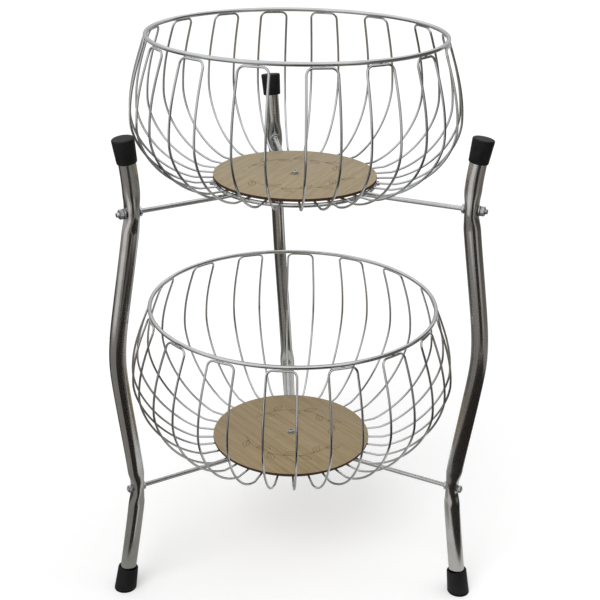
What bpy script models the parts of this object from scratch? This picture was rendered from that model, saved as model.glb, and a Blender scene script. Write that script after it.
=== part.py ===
"""Two-tier wire basket stand for potatoes and onions.

Three bent tube legs carry two welded wire bowls, one above the other. Each bowl stands on three rods
that are bolted through the legs. A round fibreboard disc lies in the bottom of each bowl.
Lengths are in metres. +Z is up and the object is seen from -Y.
"""

import math

import bmesh
import bpy
from mathutils import Matrix, Vector

# Leg tubes. Each leg has its own turn about the stand at its lower and its upper bolt.
LEG_TURNS = {"left": (math.radians(209.7), math.radians(209.9)),
             "right": (math.radians(328.3), math.radians(333.9)),
             "rear": (math.radians(90.4), math.radians(96.1))}
LOWER_LEG_SHIFT_RIGHT = 0.004  # the legs' circle stands this far off the bowls' axis
LOWER_LEG_SHIFT_BACK = 0.006
UPPER_LEG_SHIFT_RIGHT = 0.003
UPPER_LEG_SHIFT_BACK = 0.0025
# A round 19 mm tube, squeezed by its bending tools. Its depth runs from the stand's middle outwards.
TUBE_DEPTH = 0.0202
TUBE_WIDTH = 0.0174
TUBE_WALL = 0.0012
TUBE_SIDES = 12
# A leg has straight runs between corners at its bolts, at two knees half-way up and near its top.
# The shares give how far each run leans in or out for its height.
LEG_SPLAY_SHARE = 0.183  # below the lower bolt
LEG_RISE_SHARE = 0.123  # from the lower bolt to the lower knee
LEG_RETURN_SHARE = 0.19  # from the upper knee to the upper bolt
LEG_TOP_SHARE = 0.01  # just above the upper bolt
LEG_TIP_SHARE = 0.15  # at the top end
LEG_KNEE_RISE = 0.192  # the knees' middle stands this far above the lower bolt
LEG_KNEE_LENGTH = 0.032  # from one knee to the other
LEG_TIP_RISE = 0.031  # the top corner stands this far above the upper bolt
LEG_ABOVE_BOLT = 0.082
RIGHT_LEG_CUT = 0.003  # the right leg ends this much lower
LEG_BEND = 0.022  # how gently the leg bends at its corners
LOWER_LEG_CLEARANCE = 0.0084  # from a leg's corner at its bolt to the widest part of the bowl above it
UPPER_LEG_CLEARANCE = 0.0094
LOWER_PRESS_DEPTH = 0.0035  # the tube is pressed flat by this much on both sides of a bolt
UPPER_PRESS_DEPTH = 0.0022
PRESS_SPREAD = 0.0018  # and grows wider by this much on each side
PRESS_FLAT = 0.0075  # half the length of the flat
PRESS_HALF_LENGTH = 0.026
PRESS_RUNOUT = 0.008  # how far the pressed face has curved away at the end of that length
PRESS_RING_SHARES = (-1, -0.6, -0.3, 0, 0.3, 0.6, 1)  # where the tube has rings along a pressing
KNEE_STEPS = 6  # rings along the knees

# Rubber caps and feet
RUBBER_CLEARANCE = 0.0003
RUBBER_SIDES = 24
CAP_LENGTH = 0.028
CAP_END_THICKNESS = 0.004
CAP_END_WALL = 0.0024
CAP_MOUTH_WALL = 0.0009
CAP_BEVEL = 0.0018
FOOT_HEIGHT = 0.030
FOOT_SOLE = 0.005
FOOT_MOUTH_WALL = 0.0022
FOOT_SOLE_WALL = 0.0036

# Wires and rods of a bowl
SEAT_GAP = 0.0003  # between pieces that touch
WELD_SINK = 0.0007  # how deep a wire is fused into the ring that it is welded to
RIM_DIAMETER = 0.005
WIRE_DIAMETER = 0.0028
RING_DIAMETER = 0.005
HOOP_COUNT = 16
HOOP_SPAN = math.radians(10.8)  # between the two legs of a hoop
HOOP_CORNER = 0.007  # bend radius where a hoop turns along the rim
HOOP_WELD_ANGLE = math.radians(65)  # a hoop hangs this far below level on the rim's outer side
FLANK_SHARES = (0.12, 0.32, 0.52, 0.76, 1.0)  # a hoop's points from the floor to its widest part
NECK_SHARES = (0.5, 1.0)  # and from there to its corner
HOOP_OVERHANG = 0.008  # a wire ends this far inside the base ring
HOOP_DIP = 0.0012  # a wire sinks this far from its end until it starts to curve up

# Bowls: heights of the rims above the floor, radii and depths
UPPER_RIM_HEIGHT = 0.6825
UPPER_RIM_RADIUS = 0.1725
UPPER_BULGE = 0.0215  # the widest part lies this far outside the rim
UPPER_BULGE_DEPTH = 0.092
UPPER_DISC_DEPTH = 0.166
UPPER_DISC_RADIUS = 0.0985
UPPER_FLOOR_MARGIN = 0.0085  # the bowl's side curves up this far outside the disc
UPPER_CURVE_SHARE = 1.11  # exponent of that curve: 1 is an ellipse
UPPER_RING_INSET = 0.002
UPPER_HOOP_TURN = math.radians(6.2)
# Degrees by which each hoop is welded off its even place
UPPER_HOOP_DRIFTS = (-1.5, -1.8, 1.9, 2.7, 1.4, -0.3, 0.3, -0.2, -0.5, -1.0, -1.9, -0.5, 0, -1.7, -2.1,
                     -2.1)
LOWER_RIM_HEIGHT = 0.346
LOWER_RIM_RADIUS = 0.180
LOWER_BULGE = 0.025
LOWER_BULGE_DEPTH = 0.094
LOWER_DISC_DEPTH = 0.188
LOWER_DISC_RADIUS = 0.103
LOWER_FLOOR_MARGIN = 0.006
LOWER_CURVE_SHARE = 1.18
LOWER_RING_INSET = 0.0115
LOWER_HOOP_TURN = math.radians(16.7)
LOWER_HOOP_DRIFTS = (-2.2, 0.4, -0.1, 0.4, 0.2, 1.0, 2.5, 2.0, -0.3, 0.4, -0.2, -0.1, -0.7, -1.7, -2.5,
                     -2.5)

# Disc and what holds it down
DISC_THICKNESS = 0.0035
SCREW_DIAMETER = 0.004
SCREW_HEAD_LIP = 0.00175
SCREW_HEAD_HEIGHT = 0.0022
SCREW_TAIL = 0.002
SCREW_CLEARANCE = 0.0004
DISC_WASHER_WIDTH = 0.0031
DISC_WASHER_THICKNESS = 0.0008
STRIP_WIDTH = 0.014
STRIP_THICKNESS = 0.002
STRIP_END_RADIUS = 0.003
STRIP_OVERLAP = 0.006  # the strip reaches this far past the middle of the base ring
CLAMP_NUT_WALL = 0.0011
CLAMP_NUT_THICKNESS = 0.0032

# Arm rods and their fasteners. The lower arms have the smaller thread.
ARM_DIAMETER = 0.0055
ARM_INNER_END = 0.012  # an arm ends this far inside the base ring
THREAD_CHAMFER = 0.0006
THREAD_CLEARANCE = 0.0003
COLLAR_LIP = 0.0028
COLLAR_THICKNESS = 0.003
UPPER_THREAD_DIAMETER = 0.006
UPPER_THREAD_STUB = 0.003  # shows beyond the outer nut
UPPER_WASHER_WIDTH = 0.0027
UPPER_WASHER_THICKNESS = 0.002
UPPER_NUT_WALL = 0.0017
UPPER_NUT_THICKNESS = 0.005
LOWER_THREAD_DIAMETER = 0.005
LOWER_THREAD_STUB = 0.001
LOWER_WASHER_WIDTH = 0.0016
LOWER_WASHER_THICKNESS = 0.001
LOWER_NUT_WALL = 0.0012
LOWER_NUT_THICKNESS = 0.004
ROUND_SIDES = 10
RIM_SEGMENTS = 64
RIM_SIDES = 8
RING_SEGMENTS = 36
RING_SIDES = 8
WIRE_SIDES = 6
DISC_SIDES = 48
HEXAGON = 6

CUT_OVERRUN = 0.004
MERGE_DISTANCE = 0.00001


def start_empty_scene():
    for item in list(bpy.data.objects):
        bpy.data.objects.remove(item, do_unlink=True)


def new_collection(name):
    collection = bpy.data.collections.new(name)
    bpy.context.scene.collection.children.link(collection)
    return collection


def principled(name, colour, roughness, metallic):
    material = bpy.data.materials.new(name)
    material.use_nodes = True
    shader = material.node_tree.nodes["Principled BSDF"]
    shader.inputs["Base Color"].default_value = (*colour, 1.0)
    shader.inputs["Roughness"].default_value = roughness
    shader.inputs["Metallic"].default_value = metallic
    material.diffuse_color = (*colour, 1.0)
    return material


def polar(radius, turn, height=0.0):
    return Vector((radius * math.cos(turn), radius * math.sin(turn), height))


def along(origin, direction):
    """Places a piece at origin with its own Z axis along direction."""
    return Matrix.Translation(origin) @ direction.to_track_quat("Z", "Y").to_matrix().to_4x4()


def add_part(name, data, material, placement=None):
    """Adds a piece to the basket's collection, under the stand's empty."""
    obj = bpy.data.objects.new(name, data)
    BASKET.objects.link(obj)
    data.materials.clear()
    data.materials.append(material)
    obj.parent = STAND
    obj.matrix_local = placement or Matrix()
    return obj


def smooth(mesh):
    mesh.shade_smooth()
    mesh.set_sharp_from_angle(angle=math.radians(40))


def bmesh_to_mesh(name, shape):
    mesh = bpy.data.meshes.new(name)
    shape.to_mesh(mesh)
    shape.free()
    return mesh


def prism(name, placement, sides, radius, height):
    """A straight prism that stands on its placement."""
    shape = bmesh.new()
    raised = placement @ Matrix.Translation((0, 0, height / 2))
    bmesh.ops.create_cone(shape, cap_ends=True, segments=sides, radius1=radius, radius2=radius,
                          depth=height, matrix=raised)
    return bmesh_to_mesh(name, shape)


def combine(obj, helper_mesh, operation):
    """Cuts a helper mesh out of a piece, or joins it on, with a Boolean."""
    helper = bpy.data.objects.new(helper_mesh.name, helper_mesh)
    CUTTERS.objects.link(helper)
    helper.parent = STAND
    helper.hide_render = True
    helper.display_type = "WIRE"
    boolean = obj.modifiers.new(operation.lower(), "BOOLEAN")
    boolean.operation = operation
    boolean.solver = "EXACT"
    boolean.object = helper


def bore_along(obj, start, direction, radius, length):
    """Drills a round hole from start."""
    hole = prism(obj.name + "_bore", along(start, direction), ROUND_SIDES, radius, length)
    combine(obj, hole, "DIFFERENCE")


def turned(name, profile, material, placement, sides=ROUND_SIDES, closed=False):
    """Turns a profile of (radius, height) points about its own Z axis."""
    mesh = bpy.data.meshes.new(name)
    points = [(radius, 0.0, height) for radius, height in profile]
    edges = [(i, i + 1) for i in range(len(points) - 1)]
    if closed:
        edges.append((len(points) - 1, 0))
    mesh.from_pydata(points, edges, [])
    obj = add_part(name, mesh, material, placement)
    screw = obj.modifiers.new("turn", "SCREW")
    screw.axis = "Z"
    screw.steps = screw.render_steps = sides
    screw.use_merge_vertices = True
    screw.merge_threshold = MERGE_DISTANCE
    screw.use_smooth_shade = True
    return obj


def bent_rod_mesh(name, paths, diameter, sides, cap_ends=True):
    """Bends a round rod along each path, as a curve, and makes one mesh of them."""
    curve = bpy.data.curves.new(name, "CURVE")
    curve.dimensions = "3D"
    curve.bevel_depth = diameter / 2
    curve.bevel_resolution = sides // 2 - 2
    curve.use_fill_caps = cap_ends
    for path in paths:
        spline = curve.splines.new("POLY")
        spline.points.add(len(path) - 1)
        for point, place in zip(spline.points, path):
            point.co = (*place, 1.0)
    guide = bpy.data.objects.new(name, curve)
    bpy.context.scene.collection.objects.link(guide)
    bpy.context.view_layer.update()
    seen = guide.evaluated_get(bpy.context.evaluated_depsgraph_get())
    mesh = bpy.data.meshes.new_from_object(seen)
    bpy.data.objects.remove(guide, do_unlink=True)
    shape = bmesh.new()
    shape.from_mesh(mesh)
    bmesh.ops.remove_doubles(shape, verts=shape.verts, dist=MERGE_DISTANCE)
    shape.to_mesh(mesh)
    shape.free()
    return mesh


def ring(name, radius, diameter, height, material, segments, sides):
    bpy.ops.mesh.primitive_torus_add(major_radius=radius, minor_radius=diameter / 2,
                                     major_segments=segments, minor_segments=sides)
    made = bpy.context.object
    mesh = made.data
    bpy.data.objects.remove(made, do_unlink=True)
    smooth(mesh)
    return add_part(name, mesh, material, Matrix.Translation((0, 0, height)))


class Bowl:
    """The levels and radii of one bowl, worked out from its named sizes."""

    def __init__(self, name, sizes):
        self.name = name
        self.rim_height = sizes["rim_height"]
        self.rim_radius = sizes["rim_radius"]
        self.bulge_radius = self.rim_radius + sizes["bulge"]
        self.bulge_height = self.rim_height - sizes["bulge_depth"]
        self.disc_top = self.rim_height - sizes["disc_depth"]
        self.disc_radius = sizes["disc_radius"]
        self.floor_radius = self.disc_radius + sizes["floor_margin"]
        self.curve_share = sizes["curve_share"]
        self.hoop_turn = sizes["hoop_turn"]
        self.hoop_drifts = [math.radians(drift) for drift in sizes["hoop_drifts"]]
        self.ring_radius = self.disc_radius - sizes["ring_inset"]
        self.wire_height = self.disc_top - DISC_THICKNESS - SEAT_GAP - WIRE_DIAMETER / 2
        self.ring_height = self.wire_height - (WIRE_DIAMETER + RING_DIAMETER) / 2 + WELD_SINK
        self.ring_bottom = self.ring_height - RING_DIAMETER / 2
        self.arm_height = self.ring_bottom - SEAT_GAP - ARM_DIAMETER / 2
        self.leg_shift = sizes["leg_shift"]
        self.leg_radius = (self.bulge_radius + WIRE_DIAMETER / 2 + sizes["leg_clearance"]
                           + TUBE_DEPTH / 2)
        self.press_depth = sizes["press_depth"]
        self.thread_diameter, self.thread_stub = sizes["thread"]
        self.washer_width, self.washer_thickness = sizes["washer"]
        self.nut_wall, self.nut_thickness = sizes["nut"]


def bowl_sizes():
    lower = Bowl("lower", {
        "rim_height": LOWER_RIM_HEIGHT, "rim_radius": LOWER_RIM_RADIUS, "bulge": LOWER_BULGE,
        "bulge_depth": LOWER_BULGE_DEPTH, "disc_depth": LOWER_DISC_DEPTH,
        "disc_radius": LOWER_DISC_RADIUS, "floor_margin": LOWER_FLOOR_MARGIN,
        "curve_share": LOWER_CURVE_SHARE, "ring_inset": LOWER_RING_INSET,
        "hoop_turn": LOWER_HOOP_TURN, "hoop_drifts": LOWER_HOOP_DRIFTS,
        "leg_clearance": LOWER_LEG_CLEARANCE,
        "leg_shift": (LOWER_LEG_SHIFT_RIGHT, LOWER_LEG_SHIFT_BACK),
        "press_depth": LOWER_PRESS_DEPTH, "thread": (LOWER_THREAD_DIAMETER, LOWER_THREAD_STUB),
        "washer": (LOWER_WASHER_WIDTH, LOWER_WASHER_THICKNESS),
        "nut": (LOWER_NUT_WALL, LOWER_NUT_THICKNESS)})
    upper = Bowl("upper", {
        "rim_height": UPPER_RIM_HEIGHT, "rim_radius": UPPER_RIM_RADIUS, "bulge": UPPER_BULGE,
        "bulge_depth": UPPER_BULGE_DEPTH, "disc_depth": UPPER_DISC_DEPTH,
        "disc_radius": UPPER_DISC_RADIUS, "floor_margin": UPPER_FLOOR_MARGIN,
        "curve_share": UPPER_CURVE_SHARE, "ring_inset": UPPER_RING_INSET,
        "hoop_turn": UPPER_HOOP_TURN, "hoop_drifts": UPPER_HOOP_DRIFTS,
        "leg_clearance": UPPER_LEG_CLEARANCE,
        "leg_shift": (UPPER_LEG_SHIFT_RIGHT, UPPER_LEG_SHIFT_BACK),
        "press_depth": UPPER_PRESS_DEPTH, "thread": (UPPER_THREAD_DIAMETER, UPPER_THREAD_STUB),
        "washer": (UPPER_WASHER_WIDTH, UPPER_WASHER_THICKNESS),
        "nut": (UPPER_NUT_WALL, UPPER_NUT_THICKNESS)})
    return lower, upper


def wire_profile(bowl):
    """The (radius, height) points of a hoop's leg, from its end under the disc up towards the rim."""
    floor_height = bowl.wire_height - HOOP_DIP
    points = [(bowl.ring_radius - HOOP_OVERHANG, bowl.wire_height)]
    for share in FLANK_SHARES:
        angle = math.pi / 2 * share
        reach = math.sin(angle) ** bowl.curve_share
        drop = math.cos(angle) ** bowl.curve_share
        points.append((bowl.floor_radius + (bowl.bulge_radius - bowl.floor_radius) * reach,
                       bowl.bulge_height - (bowl.bulge_height - floor_height) * drop))
    top_radius, top_height = hoop_top(bowl)
    corner_height = top_height - HOOP_CORNER
    for share in NECK_SHARES:
        height = bowl.bulge_height + (corner_height - bowl.bulge_height) * share
        left = (top_height - height) / (top_height - bowl.bulge_height)
        swell = math.sin(math.pi / 2 * left)
        points.append((top_radius + (bowl.bulge_radius - top_radius) * swell, height))
    return points


def hoop_top(bowl):
    """Radius and height of a hoop's top, which hangs on the outer side of the rim."""
    reach = (RIM_DIAMETER + WIRE_DIAMETER) / 2 + SEAT_GAP
    return (bowl.rim_radius + reach * math.cos(HOOP_WELD_ANGLE),
            bowl.rim_height - reach * math.sin(HOOP_WELD_ANGLE))


def hoop_path(bowl, middle_turn):
    """One bent wire: up one leg, round a corner, along the rim, and down the other leg."""
    half_turn = HOOP_SPAN / 2
    top_radius, top_height = hoop_top(bowl)
    profile = wire_profile(bowl)
    corner_turn = HOOP_CORNER / top_radius
    corner_radius = profile[-1][0]
    half = [(radius, -half_turn, height) for radius, height in profile]
    for bend in (math.radians(45), math.radians(90)):
        lift = math.sin(bend)
        half.append((corner_radius + (top_radius - corner_radius) * lift,
                     -half_turn + corner_turn * (1 - math.cos(bend)),
                     top_height - HOOP_CORNER * (1 - lift)))
    other = [(radius, -turn, height) for radius, turn, height in reversed(half)]
    whole = half + [(top_radius, 0.0, top_height)] + other
    return [polar(radius, middle_turn + turn, height) for radius, turn, height in whole]


def knee_heights(lower):
    middle = lower.arm_height + LEG_KNEE_RISE
    return middle - LEG_KNEE_LENGTH / 2, middle + LEG_KNEE_LENGTH / 2


def leg_top(upper, side):
    return upper.arm_height + LEG_ABOVE_BOLT - (RIGHT_LEG_CUT if side == "right" else 0.0)


def leg_corners(lower, upper):
    """The (radius, height) corners of a leg's centre line, from its foot to its top end."""
    low_knee, high_knee = knee_heights(lower)
    tip_radius = upper.leg_radius + LEG_TOP_SHARE * LEG_TIP_RISE
    return [(lower.leg_radius + LEG_SPLAY_SHARE * (lower.arm_height - FOOT_SOLE), FOOT_SOLE),
            (lower.leg_radius, lower.arm_height),
            (lower.leg_radius + LEG_RISE_SHARE * (low_knee - lower.arm_height), low_knee),
            (upper.leg_radius + LEG_RETURN_SHARE * (upper.arm_height - high_knee), high_knee),
            (upper.leg_radius, upper.arm_height),
            (tip_radius, upper.arm_height + LEG_TIP_RISE),
            (tip_radius + LEG_TIP_SHARE * (LEG_ABOVE_BOLT - LEG_TIP_RISE),
             upper.arm_height + LEG_ABOVE_BOLT)]


def leg_radius(corners, height):
    """The centre line's radius at a height, with each corner between the straight runs eased."""
    leans = [(above[0] - below[0]) / (above[1] - below[1]) for below, above in zip(corners, corners[1:])]
    radius = corners[0][0] + leans[0] * (height - corners[0][1])
    for corner, before, after in zip(corners[1:-1], leans, leans[1:]):
        past = height - corner[1]
        radius += (after - before) * (past + math.hypot(past, LEG_BEND)) / 2
    return radius


def leg_place(lower, upper, side, height):
    """A point of a leg's centre line, and the level direction across the leg there."""
    radius = leg_radius(leg_corners(lower, upper), height)
    share = (height - lower.arm_height) / (upper.arm_height - lower.arm_height)
    lower_turn, upper_turn = LEG_TURNS[side]
    turn = lower_turn + (upper_turn - lower_turn) * share
    shift = Vector((*lower.leg_shift, 0)).lerp(Vector((*upper.leg_shift, 0)), share)
    return polar(radius, turn, height) + shift, polar(1, turn + math.pi / 2)


def bolt_frame(lower, upper, bowl, side):
    """Where a leg's centre line meets a bowl's arm, and the arm's outward direction."""
    place, _ = leg_place(lower, upper, side, bowl.arm_height)
    return place, Vector((place.x, place.y, 0)).normalized()


def leg_heights(lower, upper, side):
    """Heights of the tube's rings, close together where it is pressed or bent."""
    tip_bend = upper.arm_height + LEG_TIP_RISE
    heights = [FOOT_SOLE, (FOOT_SOLE + lower.arm_height) / 2, tip_bend, tip_bend + LEG_BEND,
               leg_top(upper, side)]
    for bolt in (lower.arm_height, upper.arm_height):
        heights += [bolt + PRESS_HALF_LENGTH * share for share in PRESS_RING_SHARES]
    low_knee, high_knee = knee_heights(lower)
    start = low_knee - LEG_BEND
    span = high_knee + LEG_BEND - start
    heights += [start + span * step / KNEE_STEPS for step in range(KNEE_STEPS + 1)]
    return sorted(heights)


def squeeze_tube(mesh, lower, upper, side):
    """Makes the round tube narrower across than it is deep."""
    for vertex in mesh.vertices:
        centre, across = leg_place(lower, upper, side, vertex.co.z)
        vertex.co += across * (vertex.co - centre).dot(across) * (TUBE_WIDTH / TUBE_DEPTH - 1)


def press_tube(mesh, bowl, bolt, outward):
    """Flattens the tube on both sides of a bolt and lets it grow wider there."""
    sideways = Vector((-outward.y, outward.x, 0))
    for vertex in mesh.vertices:
        offset = vertex.co - bolt
        away = abs(offset.z)
        if away >= PRESS_HALF_LENGTH:
            continue
        past_flat = max(0.0, away - PRESS_FLAT) / (PRESS_HALF_LENGTH - PRESS_FLAT)
        release = (1 - math.cos(math.pi * past_flat)) / 2
        limit = TUBE_DEPTH / 2 - bowl.press_depth + PRESS_RUNOUT * release
        depth = offset.dot(outward)
        pressed = max(-limit, min(limit, depth))
        wider = offset.dot(sideways) * PRESS_SPREAD * (1 - release) / (TUBE_WIDTH / 2)
        vertex.co += outward * (pressed - depth) + sideways * wider


def make_leg(side, lower, upper, chrome):
    path = [leg_place(lower, upper, side, height)[0] for height in leg_heights(lower, upper, side)]
    mesh = bent_rod_mesh("leg_" + side, [path], TUBE_DEPTH, TUBE_SIDES, cap_ends=False)
    squeeze_tube(mesh, lower, upper, side)
    bolts = [(bowl, *bolt_frame(lower, upper, bowl, side)) for bowl in (lower, upper)]
    for bowl, bolt, outward in bolts:
        press_tube(mesh, bowl, bolt, outward)
    smooth(mesh)
    leg = add_part("leg_" + side, mesh, chrome)
    shell = leg.modifiers.new("wall", "SOLIDIFY")
    shell.thickness = TUBE_WALL
    shell.offset = -1
    for bowl, bolt, outward in bolts:
        bore_along(leg, bolt - outward * TUBE_DEPTH, outward, bolt_bore(bowl), TUBE_DEPTH * 2)
    return path


def make_cap(side, path, rubber):
    """A rubber cup over the tube's top end, wider at its closed end."""
    bore = TUBE_DEPTH / 2 + RUBBER_CLEARANCE
    end_radius = bore + CAP_END_WALL
    mouth = CAP_END_THICKNESS - CAP_LENGTH
    profile = [(0, CAP_END_THICKNESS), (end_radius - CAP_BEVEL, CAP_END_THICKNESS),
               (end_radius, CAP_END_THICKNESS - CAP_BEVEL), (bore + CAP_MOUTH_WALL, mouth),
               (bore, mouth), (bore, SEAT_GAP), (0, SEAT_GAP)]
    placement = along(path[-1], (path[-1] - path[-2]).normalized())
    turned("cap_" + side, profile, rubber, placement, RUBBER_SIDES)


def make_foot(side, path, rubber):
    """A rubber foot in line with the tube, cut level where it stands on the floor."""
    bore = TUBE_DEPTH / 2 + RUBBER_CLEARANCE
    sole_radius = bore + FOOT_SOLE_WALL
    mouth = FOOT_HEIGHT - FOOT_SOLE
    profile = [(0, -SEAT_GAP), (bore, -SEAT_GAP), (bore, mouth), (bore + FOOT_MOUTH_WALL, mouth),
               (sole_radius, -FOOT_SOLE), (sole_radius, -FOOT_SOLE - sole_radius),
               (0, -FOOT_SOLE - sole_radius)]
    placement = along(path[0], (path[1] - path[0]).normalized())
    foot = turned("foot_" + side, profile, rubber, placement, RUBBER_SIDES)
    below = Matrix.Translation((path[0].x, path[0].y, -FOOT_HEIGHT))
    floor = prism("floor_under_" + side, below, 4, FOOT_HEIGHT, FOOT_HEIGHT)
    combine(foot, floor, "DIFFERENCE")


def bolt_bore(bowl):
    return bowl.thread_diameter / 2 + THREAD_CLEARANCE


def screw_bore():
    return SCREW_DIAMETER / 2 + SCREW_CLEARANCE


def hexagon_corner(bore, wall):
    """The radius of a nut's corners, from its bore and the wall at its flats."""
    return (bore + wall) / math.cos(math.pi / 6)


def make_joint(bowl, side, bolt, outward, chrome, zinc):
    """An arm rod from under the base ring out through the leg, with its washer and nut."""
    level = Vector((0, 0, bowl.arm_height))
    placement = along(level, outward)
    reach = bolt.dot(outward)
    inner = bowl.ring_radius - ARM_INNER_END
    seat = TUBE_DEPTH / 2 - bowl.press_depth + SEAT_GAP
    collar_face = reach - seat
    shoulder = collar_face - COLLAR_THICKNESS
    washer_face = reach + seat
    nut_face = washer_face + bowl.washer_thickness + SEAT_GAP
    end = nut_face + bowl.nut_thickness + bowl.thread_stub
    rod, thread = ARM_DIAMETER / 2, bowl.thread_diameter / 2
    collar = thread + COLLAR_LIP
    profile = [(0, end), (thread - THREAD_CHAMFER, end), (thread, end - THREAD_CHAMFER),
               (thread, collar_face), (collar, collar_face), (collar, shoulder), (rod, shoulder),
               (rod, inner), (0, inner)]
    turned(f"{bowl.name}_arm_{side}", profile, chrome, placement)

    bore = bolt_bore(bowl)
    washer_profile = ring_profile(bore, bowl.washer_width, washer_face, bowl.washer_thickness)
    turned(f"{bowl.name}_washer_{side}", washer_profile, zinc, placement, closed=True)

    nut_name = f"{bowl.name}_nut_{side}"
    nut_seat = along(level + outward * nut_face, outward)
    block = prism(nut_name, nut_seat, HEXAGON, hexagon_corner(bore, bowl.nut_wall),
                  bowl.nut_thickness)
    nut = add_part(nut_name, block, zinc)
    bore_along(nut, level + outward * (nut_face - CUT_OVERRUN), outward, bore,
               bowl.nut_thickness + 2 * CUT_OVERRUN)


def ring_profile(bore, width, bottom, thickness):
    top = bottom + thickness
    return [(bore, top), (bore + width, top), (bore + width, bottom), (bore, bottom)]


def make_disc(bowl, board, zinc):
    """The fibreboard disc and the screw, washer, strip and nut that hold it down."""
    up = Vector((0, 0, 1))
    disc_bottom = bowl.disc_top - DISC_THICKNESS
    strip_top = bowl.ring_bottom - SEAT_GAP
    strip_bottom = strip_top - STRIP_THICKNESS
    hole_start = up * (strip_bottom - CUT_OVERRUN)
    hole_length = bowl.disc_top - strip_bottom + 2 * CUT_OVERRUN

    name = bowl.name + "_disc"
    disc = add_part(name, prism(name, Matrix.Translation((0, 0, disc_bottom)), DISC_SIDES,
                                bowl.disc_radius, DISC_THICKNESS), board)
    smooth(disc.data)
    bore_along(disc, hole_start, up, screw_bore(), hole_length)

    name = bowl.name + "_clamp_strip"
    shape = bmesh.new()
    size = Matrix.Diagonal((2 * (bowl.ring_radius + STRIP_OVERLAP), STRIP_WIDTH, STRIP_THICKNESS, 1))
    middle = Matrix.Translation((0, 0, strip_top - STRIP_THICKNESS / 2))
    bmesh.ops.create_cube(shape, size=1, matrix=middle @ size)
    corners = [edge for edge in shape.edges if abs(edge.verts[0].co.z - edge.verts[1].co.z) > SEAT_GAP]
    bmesh.ops.bevel(shape, geom=corners, offset=STRIP_END_RADIUS, segments=3, profile=0.5,
                    affect="EDGES")
    strip = add_part(name, bmesh_to_mesh(name, shape), zinc)
    bore_along(strip, hole_start, up, screw_bore(), hole_length)

    washer_bottom = bowl.disc_top + SEAT_GAP
    washer_profile = ring_profile(screw_bore(), DISC_WASHER_WIDTH, washer_bottom,
                                  DISC_WASHER_THICKNESS)
    turned(bowl.name + "_disc_washer", washer_profile, zinc, Matrix(), closed=True)

    head_bottom = washer_bottom + DISC_WASHER_THICKNESS + SEAT_GAP
    head_top = head_bottom + SCREW_HEAD_HEIGHT
    nut_bottom = strip_bottom - SEAT_GAP - CLAMP_NUT_THICKNESS
    shank, dome = SCREW_DIAMETER / 2, SCREW_HEAD_HEIGHT / 2
    head = shank + SCREW_HEAD_LIP
    tip = nut_bottom - SCREW_TAIL
    screw_profile = [(0, head_top), (head - dome, head_top), (head, head_top - dome),
                     (head, head_bottom), (shank, head_bottom), (shank, tip), (0, tip)]
    turned(bowl.name + "_disc_screw", screw_profile, zinc, Matrix())

    name = bowl.name + "_clamp_nut"
    block = prism(name, Matrix.Translation((0, 0, nut_bottom)), HEXAGON,
                  hexagon_corner(screw_bore(), CLAMP_NUT_WALL), CLAMP_NUT_THICKNESS)
    nut = add_part(name, block, zinc)
    bore_along(nut, up * (nut_bottom - CUT_OVERRUN), up, screw_bore(),
               CLAMP_NUT_THICKNESS + 2 * CUT_OVERRUN)


def make_bowl(bowl, chrome):
    """The welded wire bowl: its rim, and a cage of hoops on their base ring."""
    ring(bowl.name + "_rim", bowl.rim_radius, RIM_DIAMETER, bowl.rim_height, chrome,
         RIM_SEGMENTS, RIM_SIDES)
    cage = ring(bowl.name + "_cage", bowl.ring_radius, RING_DIAMETER, bowl.ring_height, chrome,
                RING_SEGMENTS, RING_SIDES)
    pitch = 2 * math.pi / HOOP_COUNT
    paths = [hoop_path(bowl, bowl.hoop_turn + pitch * step + drift)
             for step, drift in enumerate(bowl.hoop_drifts)]
    hoops = bent_rod_mesh(bowl.name + "_hoops", paths, WIRE_DIAMETER, WIRE_SIDES)
    smooth(hoops)
    combine(cage, hoops, "UNION")


def centre_on_floor():
    """Moves the stand so that the middle of its outline's box lies over the origin."""
    bpy.context.view_layer.update()
    view = bpy.context.evaluated_depsgraph_get()
    low, high = Vector((math.inf,) * 3), Vector((-math.inf,) * 3)
    for obj in BASKET.objects:
        if obj.type == "EMPTY":
            continue
        seen = obj.evaluated_get(view)
        mesh = seen.to_mesh()
        for vertex in mesh.vertices:
            place = seen.matrix_world @ vertex.co
            low = Vector(map(min, low, place))
            high = Vector(map(max, high, place))
        seen.to_mesh_clear()
    middle = (low + high) / 2
    STAND.location = (-middle.x, -middle.y, 0.0)


def build():
    chrome = principled("chrome_plate", (0.72, 0.72, 0.73), 0.12, 1.0)
    zinc = principled("zinc_plate", (0.62, 0.63, 0.65), 0.3, 1.0)
    rubber = principled("black_rubber", (0.012, 0.012, 0.013), 0.55, 0.0)
    board = principled("printed_fibreboard", (0.38, 0.31, 0.19), 0.5, 0.0)
    lower, upper = bowl_sizes()
    for side in LEG_TURNS:
        path = make_leg(side, lower, upper, chrome)
        make_cap(side, path, rubber)
        make_foot(side, path, rubber)
    for bowl in (lower, upper):
        make_bowl(bowl, chrome)
        for side in LEG_TURNS:
            bolt, outward = bolt_frame(lower, upper, bowl, side)
            make_joint(bowl, side, bolt, outward, chrome, zinc)
        make_disc(bowl, board, zinc)
    centre_on_floor()


start_empty_scene()
BASKET = new_collection("potato_and_onion_basket")
CUTTERS = new_collection("cutters")
STAND = bpy.data.objects.new("stand", None)
BASKET.objects.link(STAND)
build()
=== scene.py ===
import math

import bmesh
import bpy
from mathutils import Euler, Matrix, Vector


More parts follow.
